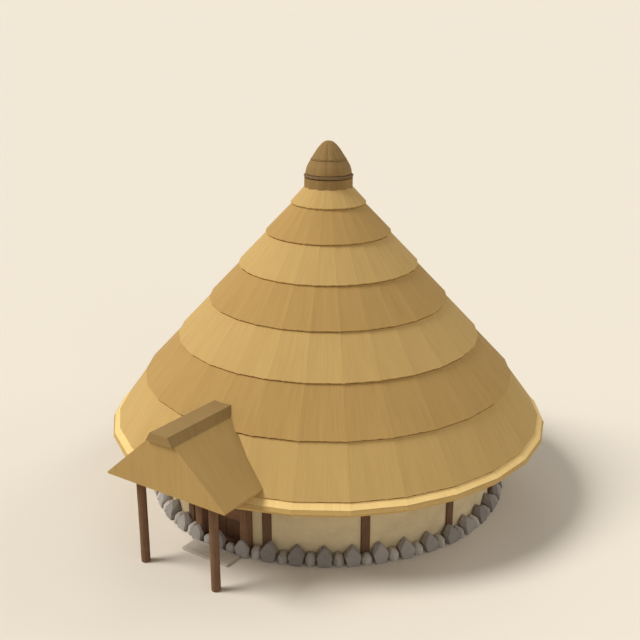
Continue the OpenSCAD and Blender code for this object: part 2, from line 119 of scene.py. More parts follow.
def placed(name: str, data: bpy.types.ID) -> bpy.types.Object:
    """A new object of the scene, at the origin."""
    thing = bpy.data.objects.new(name, data)
    bpy.context.scene.collection.objects.link(thing)
    return thing


@dataclass(frozen=True)
class Finish:
    """What every finish shares: its name, the record's slot (not used here), its dark, middle and
    light colour at their places on a ramp, and a matt surface with some relief.

    The mixes are the shares of the patterns in the order in which draw() makes them.
    """

    name: str
    slot: str
    colours: str
    stops: Point = (0.36, 0.5, 0.64)
    roughness: float = 0.9
    ior: float = 1.5
    specular: float = 0.25
    relief: float = 0.0015
    strength: float = 1.0
    gain: float = 0.55

    def draw(self, tree: Tree) -> tuple[Socket, Socket]:
        """Gives the colour and the height; each finish draws its own."""
        raise NotImplementedError

    def make(self) -> bpy.types.Material:
        """Builds the material, with the drawn height as bump.

        Returns:
            The material.
        """
        material = bpy.data.materials.new(self.name)
        material.use_nodes = True
        tree = material.node_tree
        tree.nodes.clear()
        colour, height = self.draw(tree)
        bump = add(tree, "Bump", {"Distance": self.relief, "Strength": self.strength},
                   {"Height": height})
        shader = add(tree, "BsdfPrincipled", {"Roughness": self.roughness, "IOR": self.ior,
                                              "Specular IOR Level": self.specular},
                     {"Base Color": colour, "Normal": bump.outputs["Normal"]})
        add(tree, "OutputMaterial", links={"Surface": shader.outputs["BSDF"]})
        return material

    def pattern(self, tree: Tree, source: str, scale: Point | float,
                detail: float = 2.0) -> Socket:
        """Noise on one of the piece's coordinates.

        Args:
            tree: the node tree.
            source: "Object" or "UV".
            scale: cells per metre along each axis, or one number for all.
            detail: octaves of the noise.

        Returns:
            The noise's value socket.
        """
        place = add(tree, "TexCoord")
        turned = add(tree, "Mapping", {"Scale": np.broadcast_to(scale, 3)},
                     {"Vector": place.outputs[source]})
        noise = add(tree, "TexNoise", {"Scale": 1.0, "Detail": detail, "Roughness": self.gain},
                    {"Vector": turned.outputs["Vector"]})
        return noise.outputs["Fac"]

    def total(self, tree: Tree, sockets: tuple[Socket, ...], mix: tuple[float, ...]) -> Socket:
        """Weighted sum of several patterns, each share times its value.

        Args:
            tree: the node tree.
            sockets: the patterns.
            mix: their shares.

        Returns:
            The sum's socket.
        """
        result = None
        for socket, share in zip(sockets, mix):
            step = add(tree, "Math", {"operation": "MULTIPLY_ADD", 1: share, 2: 0.0}, {0: socket})
            if result is not None:
                tree.links.new(result, step.inputs[2])
            result = step.outputs[0]
        return result

    def coloured(self, tree: Tree, tone: Socket) -> Socket:
        """Turns a tone into colour on the finish's ramp.

        Args:
            tree: the node tree.
            tone: the socket that gives the place on the ramp.

        Returns:
            The ramp's colour socket.
        """
        node = add(tree, "ValToRGB", links={"Fac": tone})
        row = node.color_ramp.elements
        row.new(self.stops[1])
        for element, place, code in zip(row, self.stops, self.colours.split()):
            element.position, element.color = place, linear(code)
        return node.outputs["Color"]


@dataclass(frozen=True)
class Straw(Finish):
    """Combed wheat straw laid in courses: a dry, matt sheaf whose stems run down the slope.

    Real stems are 4 mm thick, too fine to show, so the stems are drawn strand wide, and the
    handfuls that they were laid in show as a fainter, wider banding.
    """

    strand: float = 0.018
    handful: float = 0.16
    lengths: tuple[float, float] = (0.9, 0.8)
    weather: float = 0.6
    tone_mix: Point = (0.5, 0.3, 0.2)
    height_mix: tuple[float, float] = (0.7, 0.3)

    def draw(self, tree: Tree) -> tuple[Socket, Socket]:
        """Draws stems and handfuls along the fibre, and a faint weathering.

        Args:
            tree: the node tree.

        Returns:
            The colour and the height.
        """
        stems = self.pattern(tree, "UV", (1 / self.strand, self.lengths[0], 1), 3)
        handfuls = self.pattern(tree, "UV", (1 / self.handful, self.lengths[1], 1))
        weather = self.pattern(tree, "Object", self.weather)
        tone = self.total(tree, (stems, handfuls, weather), self.tone_mix)
        return self.coloured(tree, tone), self.total(tree, (stems, handfuls), self.height_mix)


@dataclass(frozen=True)
class Oak(Finish):
    """Cleft and adzed oak, oiled by smoke and weather: dark growth lines along the grain.

    Growth rings are 2 to 3 mm apart, and are drawn ring wide so that they show.
    """

    stops: Point = (0.36, 0.5, 0.66)
    strength: float = 0.7
    ring: float = 0.014
    length: float = 1.6
    mottle: float = 5.0
    fibre: Fibre = Fibre.ALONG_UV
    tone_mix: tuple[float, float] = (0.65, 0.35)

    def draw(self, tree: Tree) -> tuple[Socket, Socket]:
        """Draws grain stretched along the fibre, and a broad mottling.

        Args:
            tree: the node tree.

        Returns:
            The colour and the height.
        """
        across = 1 / self.ring
        if self.fibre is Fibre.ALONG_UV:
            grain = self.pattern(tree, "UV", (across, self.length, 1), 4)
        else:
            scale = tuple(self.length if i == self.fibre.value else across for i in range(3))
            grain = self.pattern(tree, "Object", scale, 4)
        mottle = self.pattern(tree, "Object", self.mottle, 3)
        return self.coloured(tree, self.total(tree, (grain, mottle), self.tone_mix)), grain


@dataclass(frozen=True)
class Daub(Finish):
    """Clay, chopped straw and dung on wattle, limewashed: chalky, uneven and finely cracked.

    Straw chaff is 2 mm thick, and is drawn 8 mm wide so that it shows.
    """

    stops: Point = (0.38, 0.5, 0.64)
    roughness: float = 0.95
    specular: float = 0.15
    relief: float = 0.003
    strength: float = 0.6
    clouds: Point = (1.6, 1.6, 2.4)
    chaff: Point = (22.0, 22.0, 120.0)
    grit: float = 140.0
    cracks: float = 2.6
    crack_width: float = 0.02
    crack_shade: float = 0.06
    tone_mix: tuple[float, float] = (0.75, 0.25)
    height_mix: Point = (0.6, 0.15, 0.25)

    def draw(self, tree: Tree) -> tuple[Socket, Socket]:
        """Draws trowelled clouds of tone, drying cracks, chaff and grit.

        Args:
            tree: the node tree.

        Returns:
            The colour and the height.
        """
        clouds = self.pattern(tree, "Object", self.clouds, 4)
        chaff = self.pattern(tree, "Object", self.chaff)
        grit = self.pattern(tree, "Object", self.grit)
        cells = add(tree, "TexVoronoi", {"feature": "DISTANCE_TO_EDGE", "Scale": self.cracks},
                    {"Vector": add(tree, "TexCoord").outputs["Object"]})
        whole = add(tree, "MapRange", {"From Min": 0.0, "From Max": self.crack_width},
                    {"Value": cells.outputs["Distance"]}).outputs["Result"]
        body = self.coloured(tree, self.total(tree, (clouds, chaff), self.tone_mix))
        mix = add(tree, "Mix", {"data_type": "RGBA", "blend_type": "MULTIPLY",
                                "Factor": self.crack_shade}, {6: body, 7: whole})
        return mix.outputs[2], self.total(tree, (clouds, grit, whole), self.height_mix)


@dataclass(frozen=True)
class Fieldstone(Finish):
    """Gathered fieldstone, split and weathered: a grey body with mineral specks and dull faces.

    Each stone's own tone comes from the "tone" attribute of its points.
    """

    stops: Point = (0.3, 0.5, 0.72)
    roughness: float = 0.88
    relief: float = 0.004
    strength: float = 0.7
    clouds: float = 7.0
    speck: float = 0.012
    own_tone: float = 0.45
    tone_mix: tuple[float, float] = (0.65, 0.35)
    height_mix: tuple[float, float] = (0.6, 0.4)

    def draw(self, tree: Tree) -> tuple[Socket, Socket]:
        """Draws the stone's own tone, clouds and specks, over a pitted face.

        Args:
            tree: the node tree.

        Returns:
            The colour and the height.
        """
        clouds = self.pattern(tree, "Object", self.clouds, 5)
        specks = self.pattern(tree, "Object", 1 / self.speck, 3)
        own = add(tree, "Attribute", {"attribute_name": "tone"}).outputs["Fac"]
        mix = (self.own_tone, *((1 - self.own_tone) * share for share in self.tone_mix))
        tone = self.total(tree, (own, clouds, specks), mix)
        return self.coloured(tree, tone), self.total(tree, (clouds, specks), self.height_mix)


STRAW_LIGHT = Straw("sunlit_wheat_straw", "thatch_light", "bd995b c2a062 c8a565")
STRAW_DARK = Straw("weathered_wheat_straw", "thatch_dark", "ac894f b49054 b99559")
# The eave roll's straw is coloured much paler than the courses' straw.
STRAW_PALE_EAVE = Straw("pale_eave_straw", "thatch_light", "e8c47c eecb85 f4d28a")
STRAW_DRIP = Straw("trimmed_drip_straw", "thatch_dark", "bd995c c2a061 c8a567")
STRAW_PORCH = Straw("porch_wheat_straw", "thatch_light", "a8874f af8e55 b49358")
STRAW_RIDGE = Straw("ridge_rye_straw", "old_straw", "8d7144 957849 997d4c", handful=0.12)
STRAW_OLD = Straw("smoked_rye_straw", "old_straw", "876c40 917346 977b49", handful=0.12)
STRAW_ROPE = Straw("twisted_straw_rope", "rope", "6e5639 7a6142 846a4a", relief=0.002,
                   strand=0.012, handful=0.06)
OAK_POST = Oak("hewn_oak_posts", "dark_timber", "614532 70533e 7a5c46")
OAK_PORCH = Oak("hewn_oak_porch_posts", "dark_timber", "664a33 74563e 7e5f45")
OAK_JAMB = Oak("hewn_oak_jambs", "dark_timber", "70523a 816147 8d6b50")
OAK_ACROSS = Oak("hewn_oak_crosswise", "dark_timber", "705037 805f43 8c6a4c",
                 fibre=Fibre.ALONG_X)
OAK_UPRIGHT = Oak("hewn_oak_upright", "dark_timber", "6a4c36 7a5b42 85644b",
                  fibre=Fibre.ALONG_Z)
OAK_DEEP = Oak("hewn_oak_deepwise", "dark_timber", "644732 73553e 7d5e46",
               fibre=Fibre.ALONG_Y)
OAK_PLANK = Oak("cleft_oak_planks", "dark_timber", "60422d 715139 7f5c42")
# Painted light: the door boards are coloured paler than the planks, so that where they sit back in
# the shaded doorway they show the tone of a lit face.
OAK_BOARD_PAINTED_LIGHT = Oak("cleft_oak_boards_painted_light", "pale_timber", "815a41 936c51 a27a5e")
ASH_POLE = Oak("peeled_ash_poles", "pale_timber", "7a5c42 8a6c50 97785a", ring=0.02,
               fibre=Fibre.ALONG_Z)
DAUB = Daub("limewashed_daub", "daub", "d3be96 dcc8a0 e0cea5")
STONE = Fieldstone("gathered_fieldstone", "fieldstone", "8d867f 9d968e aba39c")
PEBBLE = Fieldstone("gathered_pebbles", "fieldstone", "a69f94 b7afa4 c5bdb3")
SLAB = Fieldstone("split_sandstone_slab", "slab", "b5aa99 c1b6a5 cbc0af", roughness=0.9,
                  own_tone=0.2)


@cache
def material(finish: Finish) -> bpy.types.Material:
    """The finish's one material, made when it is first asked for."""
    return finish.make()


# ---- Surfaces ----


def noise(u: Array, v: Array, cells: tuple[int, int], seed: int) -> Array:
    """Smooth noise: random values on a table that repeats, blended between its cells.

    Args:
        u: place across the table, in cells.
        v: place along the table, in cells.
        cells: size of the table.
        seed: which table.

    Returns:
        Values from 0 to 1 in the shape of u and v together.
    """
    table = np.random.default_rng(seed).random(cells)
    u, v = np.broadcast_arrays(u, v)
    i, j = np.floor(u).astype(int), np.floor(v).astype(int)
    f, g = u - i, v - j
    f, g = f * f * (3 - 2 * f), g * g * (3 - 2 * g)
    i0, i1, j0, j1 = i % cells[0], (i + 1) % cells[0], j % cells[1], (j + 1) % cells[1]
    low = table[i0, j0] * (1 - f) + table[i1, j0] * f
    high = table[i0, j1] * (1 - f) + table[i1, j1] * f
    return low * (1 - g) + high * g


def steps(points: Array) -> Array:
    """Running length along a line of points, from 0 at the first."""
    gaps = np.linalg.norm(np.diff(points, axis=0), axis=-1)
    return np.concatenate([[0.0], np.cumsum(gaps)])


def faded(rows: int, rate: float) -> Array:
    """A column that rises from 0 at both ends to 1, at a rate per length of the piece."""
    share = np.linspace(0, 1, rows)[:, None]
    return np.clip(np.minimum(share, 1 - share) * rate, 0, 1)


def around(a: Array, r: Array | float, z: Array) -> Array:
    """Points about the house's axis, from the angle off the doorway, the radius and height."""
    return np.stack(np.broadcast_arrays(r * np.sin(a), -r * np.cos(a), z), -1)


def outward(x: Array, out: Array | float, z: Array) -> Array:
    """Points from the offset across the doorway, the distance towards the door and height."""
    return np.stack(np.broadcast_arrays(x, -out, z), -1)


@dataclass
class Skin:
    """A closed surface on a grid: each row is a closed loop round the piece, and the rows
    either close on themselves in a ring or are capped at both ends."""

    points: Array
    ring: bool = False
    fibre_along_rows: bool = False
    creases: Array | None = None
    offset: float = 0.0

    def normals(self) -> Array:
        """The cross product of the steps from row to row and from column to column."""
        p = self.points
        across = np.roll(p, -1, 0) - np.roll(p, 1, 0) if self.ring else np.gradient(p, axis=0)
        return np.cross(across, np.roll(p, -1, 1) - np.roll(p, 1, 1))

    def faces_out(self) -> bool:
        """Whether those already point away from the loops' centres."""
        p = self.points
        return bool(np.sum(self.normals() * (p - p.mean(1, keepdims=True))) > 0)

    def pressed(self, depth: Array) -> "Skin":
        """Moves each point inward along its unit normal.

        Args:
            depth: how far, one number a point.

        Returns:
            The same surface.
        """
        normal = self.normals() * (1 if self.faces_out() else -1)
        normal /= np.maximum(np.linalg.norm(normal, axis=-1, keepdims=True), 1e-12)
        self.points = self.points - normal * depth[..., None]
        return self

    def faces(self) -> Array:
        """Quads of the grid and its caps, as corner numbers.

        A cap folds the end loop flat: column k joins the column as far from the other end.

        Returns:
            An array of quads, each four vertex numbers, wound to face outward.
        """
        rows, cols = self.points.shape[:2]
        r = np.arange(rows if self.ring else rows - 1)[:, None]
        c = np.arange(cols)[None, :]
        r1, c1 = (r + 1) % rows, (c + 1) % cols
        quads = np.stack([r * cols + c, r1 * cols + c, r1 * cols + c1, r * cols + c1], -1)
        quads = quads.reshape(-1, 4)
        if not self.ring:
            k = np.arange(cols // 2 - 1)
            cap = np.stack([k, k + 1, cols - 2 - k, cols - 1 - k], -1)
            quads = np.concatenate([quads, cap, cap[:, ::-1] + (rows - 1) * cols])
        return quads if self.faces_out() else quads[:, ::-1]

    def map(self, faces: Array) -> Array:
        """Lengths across and along the fibre at each face corner, for the UV map.

        Args:
            faces: the quads from faces().

        Returns:
            An array of quads, each four pairs.
        """
        rows, cols = self.points.shape[:2]
        down = np.concatenate([self.points, self.points[:1]]) if self.ring else self.points
        row_at = steps(down[:, :: max(1, cols // 4)].mean(1))
        col_at = steps(np.concatenate([self.points, self.points[:, :1]], 1)[rows // 3])
        r, c = faces // cols, faces % cols
        r = np.where((r == 0) & (r.max(1, keepdims=True) == rows - 1) & (rows > 2)
                     & self.ring, rows, r)
        c = np.where((c == 0) & (c.max(1, keepdims=True) == cols - 1)
                     & (np.ptp(r, axis=1, keepdims=True) > 0), cols, c)
        across, along = row_at[r] + self.offset, col_at[c] + self.offset
        if self.fibre_along_rows:
            across, along = along, across
        return np.stack([across, along], -1)


@contextmanager
def editing(mesh: bpy.types.Mesh) -> Iterator[bmesh.types.BMesh]:
    """Opens a mesh for editing and writes it back at the end.

    Args:
        mesh: the mesh.

    Yields:
        Its editable form.
    """
    form = bmesh.new()
    form.from_mesh(mesh)
    yield form
    form.to_mesh(mesh)
    form.free()


def mark(mesh: bpy.types.Mesh, name: str, kind: str, values: Array) -> None:
    """Writes one value a point into a new attribute of a mesh.

    Args:
        mesh: the mesh.
        name: the attribute's name.
        kind: "INT" or "FLOAT".
        values: one number a point.
    """
    values = np.asarray(values, np.int32 if kind == "INT" else np.float32)
    mesh.attributes.new(name, kind, "POINT").data.foreach_set("value", values)


def places(mesh: bpy.types.Mesh) -> Array:
    """The mesh's points, one row a point."""
    flat = np.empty(len(mesh.vertices) * 3)
    mesh.vertices.foreach_get("co", flat)
    return flat.reshape(-1, 3)


def piece(name: str, skins: list[Skin], finish: Finish, nodes: list[str],
          body: str = "house", smooth: float = 35.0) -> bpy.types.Object:
    """Joins skins into one mesh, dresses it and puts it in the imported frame.

    Args:
        name: the piece's name.
        skins: its closed surfaces.
        finish: the finish.
        nodes: the CAD nodes that it stands for.
        body: the CAD body that it rides on.
        smooth: edges that turn by more than this many degrees stay sharp.

    Returns:
        The new object.
    """
    points, quads, maps, creases, count = [], [], [], [], 0
    for skin in skins:
        rows, cols = skin.points.shape[:2]
        faces = skin.faces()
        maps.append(skin.map(faces))
        points.append(skin.points.reshape(-1, 3))
        quads.append(faces + count)
        creases.append(np.repeat(np.zeros(rows) if skin.creases is None else skin.creases, cols))
        count += rows * cols
    where = np.concatenate(points) + (0, HOUSE_Y, 0)
    mesh = bpy.data.meshes.new(name)
    mesh.from_pydata(where.tolist(), [], np.concatenate(quads).tolist())
    mesh.uv_layers.new(name="lay").uv.foreach_set(
        "vector", np.concatenate(maps).astype(np.float32).ravel())
    mark(mesh, "crease_line", "INT", np.concatenate(creases))
    with editing(mesh) as form:
        bmesh.ops.remove_doubles(form, verts=form.verts, dist=MERGE)
        bmesh.ops.dissolve_degenerate(form, edges=form.edges, dist=MERGE)
    return dressed(name, mesh, finish, nodes, body, smooth)


def dressed(name: str, mesh: bpy.types.Mesh, finish: Finish, nodes: list[str], body: str,
            smooth: float) -> bpy.types.Object:
    """Smooths a mesh between its sharp edges, gives it its finish and lets it ride.

    Args:
        name: the piece's name.
        mesh: its mesh, already in its place.
        finish: the finish.
        nodes: the CAD nodes that it stands for.
        body: the CAD body that it rides on.
        smooth: edges that turn by more than this many degrees stay sharp.

    Returns:
        The new object.
    """
    mesh.shade_smooth()
    mesh.set_sharp_from_angle(angle=math.radians(smooth))
    if "crease_line" in mesh.attributes:
        line = np.empty(len(mesh.vertices), np.int32)
        mesh.attributes["crease_line"].data.foreach_get("value", line)
        pairs = np.empty(len(mesh.edges) * 2, np.int32)
        mesh.edges.foreach_get("vertices", pairs)
        ends = line[pairs.reshape(-1, 2)]
        held = np.empty(len(mesh.edges), bool)
        mesh.edges.foreach_get("use_edge_sharp", held)
        held |= (ends[:, 0] == ends[:, 1]) & (ends[:, 0] > 0)
        mesh.edges.foreach_set("use_edge_sharp", held)
    mesh.materials.append(material(finish))
    thing = placed(name, mesh)
    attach(thing, body)
    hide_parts(*nodes)
    log.info("%s: %d faces", name, len(mesh.polygons))
    return thing


def worn(thing: bpy.types.Object, width: float, angle: float) -> None:
    """Rounds the arrises that turn by more than an angle in degrees."""
    bevel = thing.modifiers.new("worn arrises", "BEVEL")
    bevel.width, bevel.segments, bevel.limit_method = width, 2, "ANGLE"
    bevel.angle_limit = math.radians(angle)


def worn_copy(name: str, node: str, finish: Finish, wear: float, body: str = "house",
              tone: float | None = None) -> None:
    """Copies a CAD node, merges its triangles into faces and rounds its arrises.

    Args:
        name: the piece's name.
        node: the CAD node.
        finish: the finish.
        wear: width of the rounded arris.
        body: the CAD body that it rides on.
        tone: the stone's own tone, if it has one.
    """
    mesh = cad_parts[node].data.copy()
    mesh.materials.clear()
    with editing(mesh) as form:
        bmesh.ops.remove_doubles(form, verts=form.verts, dist=MERGE)
        bmesh.ops.dissolve_limit(form, angle_limit=FLAT, verts=form.verts, edges=form.edges)
    if tone is not None:
        mark(mesh, "tone", "FLOAT", np.full(len(mesh.vertices), tone))
    worn(dressed(name, mesh, finish, [node], body, 30.0), wear, 12)


# ---- Roof ----


@dataclass
class RoofLines:
    """The stepped cone's outline, counted in courses from the top, with flat facets."""

    facets: int = 28
    first_r: float = 0.848
    first_z: float = 6.700
    run: float = 0.5662
    grow: float = 0.055
    fall: float = 1.114762
    drop: float = 0.020
    eave_r: float = 4.884
    eave_z: float = 1.871
    step: float = 0.044
    eave_step: float = 0.030
    thick: float = 0.300
    crown: tuple[float, float] = (0.400, 7.190)
    lip: tuple[float, float] = (5.000, 1.756)
    band: tuple[float, float] = (5.038, 1.678)
    last: int = 6

    def edge(self, i: int) -> Array:
        """Radius and height of course i's lower edge: each runs grow further out, and falls in
        proportion to its run, with a drop more for each course.

        Args:
            i: the course, counted from 0.

        Returns:
            The two numbers.
        """
        if i == self.last:
            return np.array([self.eave_r, self.eave_z])
        r = self.first_r + self.run * i + self.grow * i * (i - 1) / 2
        return np.array([r, self.first_z - self.fall * (r - self.first_r) - self.drop * i])

    @property
    def down(self) -> Array:
        """Unit step down the slope, as radius and height."""
        line = self.edge(self.last - 1) - self.edge(0)
        return line / np.linalg.norm(line)

    @property
    def inward(self) -> Array:
        """Unit step into the thatch, square to the slope."""
        return np.array([self.down[1], -self.down[0]])

    def foot(self, p: Array) -> Array:
        """The point on the underside square below p: the top line moved in by the thickness."""
        under = self.edge(0) + self.inward * self.thick
        return p + self.inward * np.dot(under - p, self.inward)

    def butt(self, i: int) -> Array:
        """Inner edge of the butt face that course i shows."""
        return self.edge(i) + self.inward * (self.step if i < self.last else self.eave_step)

    def outside(self, x: Array, z: Array) -> Array:
        """Distance from the axis, towards the door, at which the cone's outside stands.

        The radius comes from the outline at height z, and of the facets' planes the nearest
        at offset x counts.

        Args:
            x: offset across the doorway.
            z: height.

        Returns:
            Distances along -Y.
        """
        line = [self.crown] + [f(i) for i in range(self.last + 1) for f in (self.edge, self.butt)]
        line = np.array(line)[::-1]
        r = np.interp(z, line[:, 1], line[:, 0])[..., None]
        half = math.pi / self.facets
        turn = (2 * np.arange(-5, 5) + 1) * half
        flat = r * math.cos(half) - np.asarray(x)[..., None] * np.sin(turn)
        return (flat / np.cos(turn)).min(-1)


@dataclass
class StrawRing:
    """One ring of thatch: a profile of radius and height carried round the flat facets.

    The shares are those of the handfuls' ridges, the stems and the sag in the relief, and
    crest is how much of it is left on a facet's edge.
    """

    name: str
    node: str
    finish: Finish
    top: Array
    low: Array
    lines: RoofLines
    seed: int
    notched: bool = False
    handful: float = 0.13
    mesh_step: float = 0.034
    slope_step: float = 0.075
    ragged: float = 0.012
    relief: float = 0.003
    wander: float = 0.8
    shares: Point = (0.5, 0.5, 0.9)
    crest: float = 0.35

    def profile(self) -> tuple[Array, Array, Array]:
        """The closed loop: down the outside, in along the butts, up the underside.

        Returns:
            Radius and height at each point, how ragged it is and how rough it is.
        """
        outside = max(4, round(float(np.linalg.norm(self.low - self.top)) / self.slope_step))
        foot_low, foot_top = self.lines.foot(self.low), self.lines.foot(self.top)
        loop = np.concatenate([a + (b - a) * np.linspace(0, 1, n, endpoint=False)[:, None]
                               for a, b, n in ((self.top, self.low, outside),
                                               (self.low, foot_low, 4), (foot_low, foot_top, 4),
                                               (foot_top, self.top, 2))])
        loose, rough = np.zeros(len(loop)), np.zeros(len(loop))
        loose[:outside + 1] = np.clip(1 - (outside - np.arange(outside + 1)) / 3, 0, 1)
        loose[outside + 1:outside + 4] = (0.8, 0.5, 0.2)
        rough[1:outside + 4] = 1
        return loop, loose, rough

    def make(self) -> None:
        """Carries the loop round the facets and presses the handfuls into it.

        A station stands at a share t of the chord from one corner of the cone to the next.
        The relief is a row of rounded ridges, one for each handful, with noise on the stems.
        """
        loop, loose, rough = self.profile()
        lines, seed = self.lines, self.seed
        round_foot = TURN * self.low[0]
        per = max(6, round(round_foot / lines.facets / self.mesh_step))
        rows = lines.facets * per
        share = np.arange(rows)
        corner = TURN / lines.facets * np.arange(lines.facets + 1)
        ends = np.stack([np.sin(corner), -np.cos(corner)], -1)
        t = (share % per / per)[:, None]
        line = ends[share // per] * (1 - t) + ends[share // per + 1] * t
        hands = round(round_foot / self.handful)
        u, v = share[:, None] / rows, steps(loop)[None, :]
        lift = self.ragged * noise(u * 3 * hands, 0 * u, (3 * hands, 1), seed) * loose
        r = loop[:, 0] - lines.down[0] * lift
        z = loop[:, 1] - lines.down[1] * lift
        points = np.concatenate([r[..., None] * line[:, None, :], z[..., None]], -1)
        marks = np.where(share % per == 0, share // per + 1, 0)
        skin = Skin(points, ring=True, creases=marks, offset=0.37 * seed)
        wander = self.wander * noise(u * hands / 4, v * 1.5, (max(2, hands // 4), 9), seed + 1)
        ridge = (1 - np.abs(np.sin(math.pi * (u * hands + wander)))) ** 2
        stems = noise(u * 4 * hands, v * 3, (4 * hands, 9), seed + 2)
        sag = noise(u * hands / 6, v * 1.2, (max(2, hands // 6), 9), seed + 3)
        depth = sum(part * pattern for part, pattern in zip(self.shares, (ridge, stems, sag)))
        depth = self.relief * depth * np.where(marks > 0, self.crest, 1.0)[:, None]
        thing = piece(self.name, [skin.pressed(depth * rough)], self.finish, [self.node])
        if self.notched:
            WayIn().cut(thing)


@dataclass(frozen=True)
class WayIn:
    """The box cut from the eaves over the porch's way in."""

    half: float = 0.9953
    front: float = 5.7
    back: float = 4.05
    top: float = 2.19601

    def cut(self, thing: bpy.types.Object) -> None:
        """Cuts the box out of a ring and leaves the mesh closed.

        Args:
            thing: the piece to cut.
        """
        mesh = bpy.data.meshes.new("way_in")
        with editing(mesh) as form:
            bmesh.ops.create_cube(form, size=1)
            for vert in form.verts:
                vert.co = (2 * self.half * vert.co.x,
                           HOUSE_Y - (self.front if vert.co.y < 0 else self.back),
                           self.top if vert.co.z > 0 else -1)
        block = placed("way_in", mesh)
        cut = thing.modifiers.new("way in", "BOOLEAN")
        cut.object, cut.operation, cut.solver = block, "DIFFERENCE", "EXACT"
        graph = bpy.context.evaluated_depsgraph_get()
        done = bpy.data.meshes.new_from_object(thing.evaluated_get(graph))
        thing.modifiers.clear()
        thing.data = done
        bpy.data.objects.remove(block)


@dataclass
class MainRoof:
    """Seven courses, the eave's rolled ring and the band below it."""

    lines: RoofLines

    def build(self) -> None:
        """Builds the rings from the crown down."""
        lines = self.lines
        gap = lines.down * SEAT
        for i in range(lines.last + 1):
            top = np.array(lines.crown) if i == 0 else lines.butt(i - 1) + gap
            StrawRing(f"straw_course_{i + 1}", f"thatch_course_{i + 1}",
                      STRAW_DARK if i % 2 else STRAW_LIGHT, top, lines.edge(i), lines,
                      seed=10 * i + 3, notched=i == lines.last).make()
        lip, band = np.array(lines.lip), np.array(lines.band)
        StrawRing("eave_roll", "eave_ring", STRAW_PALE_EAVE, lines.butt(lines.last) + gap, lip, lines,
                  seed=83, notched=True, slope_step=0.03, ragged=0.004).make()
        StrawRing("eave_drip", "eave_band", STRAW_DRIP, lip + gap, band, lines, seed=93,
                  notched=True, slope_step=0.02, ragged=0.008).make()


@dataclass(frozen=True)
class Rope:
    """A ring of laid rope in a groove of radius neck, with its middle at height z."""

    name: str
    node: str
    finish: Finish
    z: float
    neck: float
    r: float
    turns: int
    groove: float = 0.16

    def make(self) -> None:
        """Winds the two strands, so that the groove between them climbs round turns times.

        The section's radius at angle b is r less a share of one less the sine of b plus the
        twist.
        """
        a = np.arange(self.turns * 12)[:, None] * TURN / (self.turns * 12)
        b = np.arange(16)[None, :] * TURN / 16
        own = self.r * (1 - self.groove * (1 - np.abs(np.sin(b - self.turns * a / 2))))
        points = around(a, self.neck + self.r + SEAT + own * np.cos(b), self.z + own * np.sin(b))
        piece(self.name, [Skin(points, ring=True, fibre_along_rows=True)], self.finish,
              [self.node], smooth=80.0)


@dataclass
class StrawCap:
    """The lobed finial of old straw, its thick rope binding and the thin tie above.

    Each level is a height, a radius and the share of the furrows' depth, from the skirt to
    the top, with a groove for each rope.
    """

    lines: RoofLines
    lobes: int = 12
    furrow: float = 0.015
    stem: float = 0.006
    levels: tuple[Point, ...] = (
        (7.012, 0.543, 1), (7.240, 0.545, 1), (7.254, 0.473, 0), (7.326, 0.473, 0),
        (7.340, 0.521, 1), (7.400, 0.515, 1), (7.500, 0.483, 1), (7.615, 0.417, 1),
        (7.631, 0.407, 1), (7.638, 0.371, 0), (7.662, 0.371, 0), (7.669, 0.385, 1),
        (7.870, 0.25521, 0.7), (7.980, 0.15747, 0.5), (8.025, 0.09774, 0.3),
        (8.040, 0.04344, 0))
    skirt_top: float = 7.2
    per_lobe: int = 18
    ropes: tuple[Rope, ...] = (
        Rope("cap_binding_rope", "cap_binding", STRAW_ROPE, 7.290, 0.473, 0.0374, 22),
        Rope("cap_tie_rope", "cap_tie", STRAW_OLD, 7.650, 0.371, 0.0119, 40))

    def build(self) -> None:
        """Builds the cap and its two ropes."""
        self.cap()
        for rope in self.ropes:
            rope.make()

    def cap(self) -> None:
        """Turns the levels about the axis, with a furrow between each two lobes.

        The radius at angle a is the level's own less the furrow's depth times one less the
        sine of half the lobe angle. The skirt's foot follows the cone that it lies on.
        """
        lobe, rows = self.lobes, self.lobes * self.per_lobe
        a = np.arange(rows)[:, None] * TURN / rows
        heights, radii, furrows = np.array(self.levels).T
        top = heights[-1]
        z = np.concatenate([np.linspace(p, q, 5, endpoint=False)
                            for p, q in zip(heights[:-1], heights[1:])] + [[top]])
        r, deep = np.interp(z, heights, radii)[None, :], np.interp(z, heights, furrows)[None, :]
        valley = self.furrow * deep * (1 - np.abs(np.sin(lobe * a / 2)))
        stems = noise(a / TURN * lobe * 9, z[None, :] * 3, (lobe * 9, 30), 5)
        r = r - valley - self.stem * stems * (deep > 0)
        half = math.pi / self.lines.facets
        corner = r[:, :1] * np.cos(np.mod(a, 2 * half) - half) / math.cos(half)
        first, crown = self.lines.edge(0), self.lines.crown
        foot = np.interp(corner, (crown[0], first[0]), (crown[1], first[1])) + 0.001
        skirt = foot + (z - z[0]) * (top - foot) / (top - z[0])
        z = np.where(z > self.skirt_top, z, skirt)
        r = np.concatenate([0 * a, 0 * a + crown[0] * 0.98, r, 0 * a], 1)
        z = np.concatenate([np.repeat(0 * a + crown[1] + 2 * SEAT, 2, 1), z, 0 * a + top], 1)
        piece("straw_finial", [Skin(around(a, r, z), ring=True)], STRAW_OLD, ["straw_cap"],
              smooth=60.0)


# ---- Timber ----


